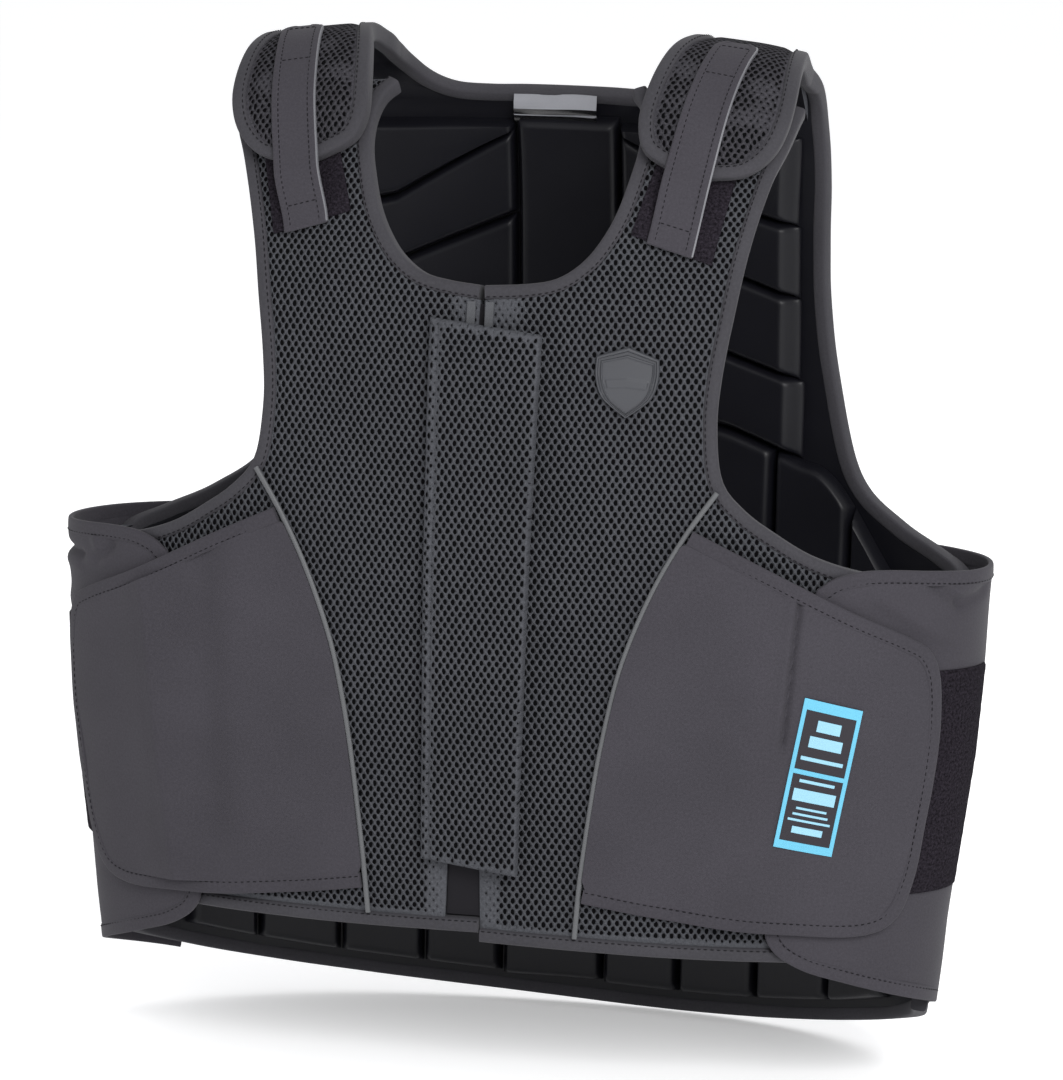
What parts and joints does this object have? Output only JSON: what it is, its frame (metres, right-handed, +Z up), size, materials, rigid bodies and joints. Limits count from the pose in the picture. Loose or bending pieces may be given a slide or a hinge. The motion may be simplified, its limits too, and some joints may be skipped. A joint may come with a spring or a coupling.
{
  "type": "riding body protector vest",
  "caption": "Padded protective vest with a front placket, wrap-round side flaps and overlapping shoulder flaps with closing straps, open at neck, arms and waist.",
  "frame": {"origin": "midway between the shoulders, at the height where the vest's shoulders sit on the wearer's", "axes": "+Z up, -Y the wearer's front, +X the wearer's left"},
  "size_m": [0.5308, 0.2466, 0.5815],
  "materials": {
    "mesh": "open-hole spacer mesh over foam",
    "softshell": "matte woven softshell",
    "tape": "folded binding tape",
    "piping": "light grey piping cord",
    "lining": "smooth satin lining over foam",
    "hook": "loop pile fastener",
    "rubber": "soft moulded rubber",
    "label": "woven label, dark on turquoise",
    "zip": "woven zip tape",
    "silver": "printed satin label"
  },
  "bodies": {
    "root": {"back_armhole_binding_left": "tape", "back_armhole_binding_right": "tape", "back_hem_binding": "tape", "back_neck_binding": "tape", "back_panel": "mesh", "back_wing_binding_left": "tape", "back_wing_binding_right": "tape", "back_wing_left": "softshell", "back_wing_right": "softshell", "column_pad_left_1": "lining", "column_pad_left_2": "lining", "column_pad_left_3": "lining", "column_pad_left_4": "lining", "column_pad_right_1": "lining", "column_pad_right_2": "lining", "column_pad_right_3": "lining", "column_pad_right_4": "lining", "front_armhole_binding_left": "tape", "front_armhole_binding_right": "tape", "front_hem_binding_left": "tape", "front_hem_binding_right": "tape", "front_neck_binding_left": "tape", "front_neck_binding_right": "tape", "front_panel_left": "mesh", "front_panel_right": "mesh", "front_placket": "mesh", "neck_label": "silver", "piping_left": "piping", "piping_right": "piping", "rib_pad_left_1": "lining", "rib_pad_left_2": "lining", "rib_pad_left_3": "lining", "rib_pad_left_4": "lining", "rib_pad_right_1": "lining", "rib_pad_right_2": "lining", "rib_pad_right_3": "lining", "rib_pad_right_4": "lining", "shield_badge": "rubber", "shoulder_flap_binding_left": "tape", "shoulder_flap_binding_right": "tape", "shoulder_flap_left": "mesh", "shoulder_flap_right": "mesh", "shoulder_hook_patch_left": "hook", "shoulder_hook_patch_right": "hook", "shoulder_strap_left": "softshell", "shoulder_strap_right": "softshell", "side_flap_binding_left": "tape", "side_flap_binding_right": "tape", "side_flap_left": "softshell", "side_flap_right": "softshell", "spine_pad": "lining", "wing_hook_patch_left": "hook", "wing_hook_patch_right": "hook", "woven_label": "label", "zip_tape_left": "zip", "zip_tape_right": "zip", "zip_underlap": "softshell"}
  },
  "joints": []
}
